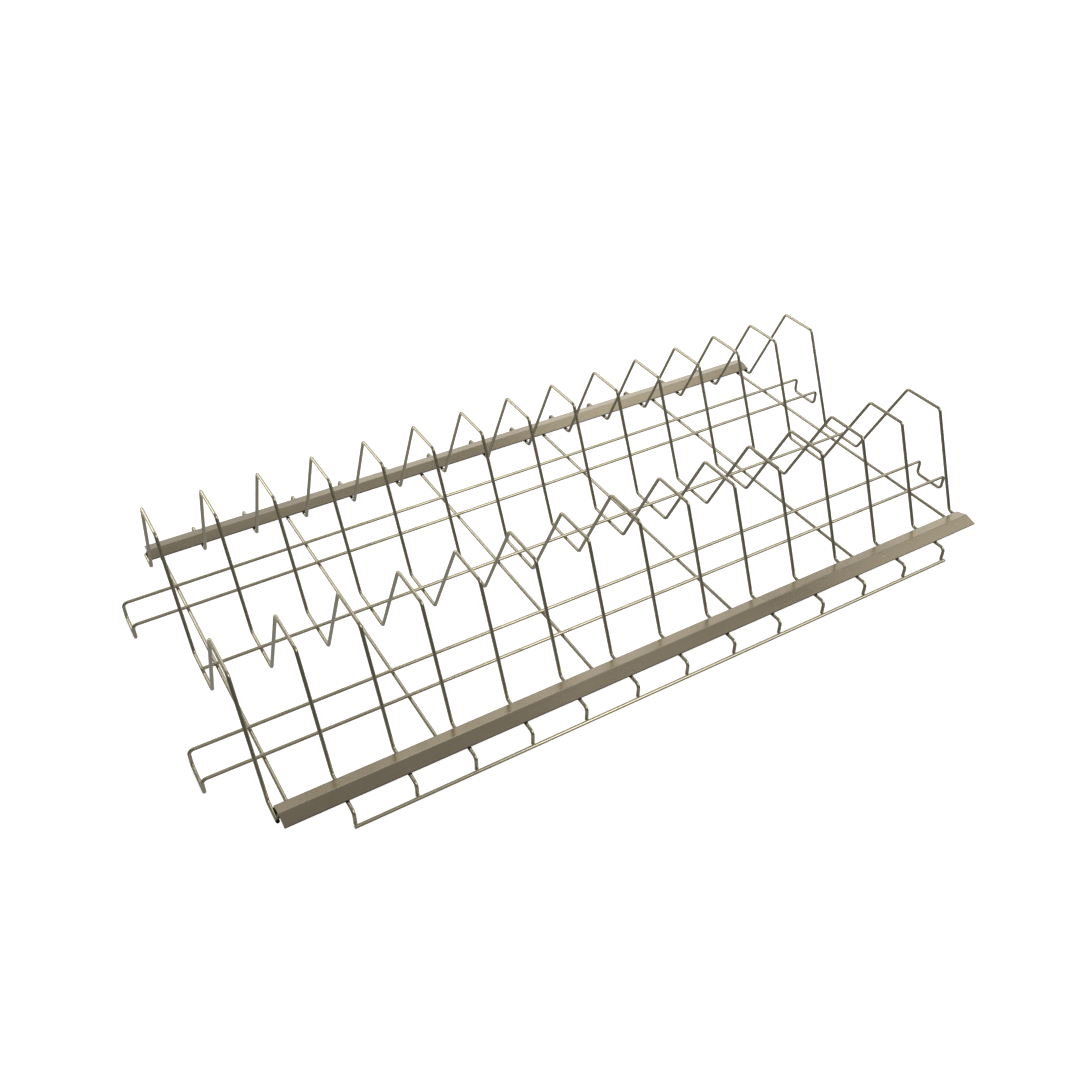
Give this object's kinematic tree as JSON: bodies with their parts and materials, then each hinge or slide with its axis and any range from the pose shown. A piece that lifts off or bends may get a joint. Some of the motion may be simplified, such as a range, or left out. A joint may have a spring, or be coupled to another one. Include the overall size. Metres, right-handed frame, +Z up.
{
  "type": "pan drying rack",
  "caption": "Welded wire rack with two rows of trapezoid divider arches, folded edge rails and turned-down hanging ends, for drying pans, lids and plates on edge.",
  "frame": {"origin": "middle of the plane that the hook rods and the loop frames' end bars stand on", "axes": "+X along the rack, +Y towards the rear rail, +Z up"},
  "size_m": [0.558, 0.2852, 0.0794],
  "materials": {
    "wire_coating": "satin champagne powder coat on steel wire",
    "rail_coating": "satin champagne powder coat on folded sheet"
  },
  "bodies": {
    "root": {"divider_wire_01": "wire_coating", "divider_wire_02": "wire_coating", "divider_wire_03": "wire_coating", "divider_wire_04": "wire_coating", "divider_wire_05": "wire_coating", "divider_wire_06": "wire_coating", "divider_wire_07": "wire_coating", "divider_wire_08": "wire_coating", "divider_wire_09": "wire_coating", "divider_wire_10": "wire_coating", "divider_wire_11": "wire_coating", "divider_wire_12": "wire_coating", "divider_wire_13": "wire_coating", "divider_wire_14": "wire_coating", "divider_wire_15": "wire_coating", "cross_rod_1": "wire_coating", "cross_rod_2": "wire_coating", "cross_rod_3": "wire_coating", "cross_rod_4": "wire_coating", "cross_rod_5": "wire_coating", "cross_rod_6": "wire_coating", "centre_rod": "wire_coating", "front_hook_rod": "wire_coating", "rear_hook_rod": "wire_coating", "rear_loop_frame": "wire_coating", "front_loop_frame": "wire_coating", "rear_rail": "rail_coating", "front_rail": "rail_coating"}
  },
  "joints": []
}
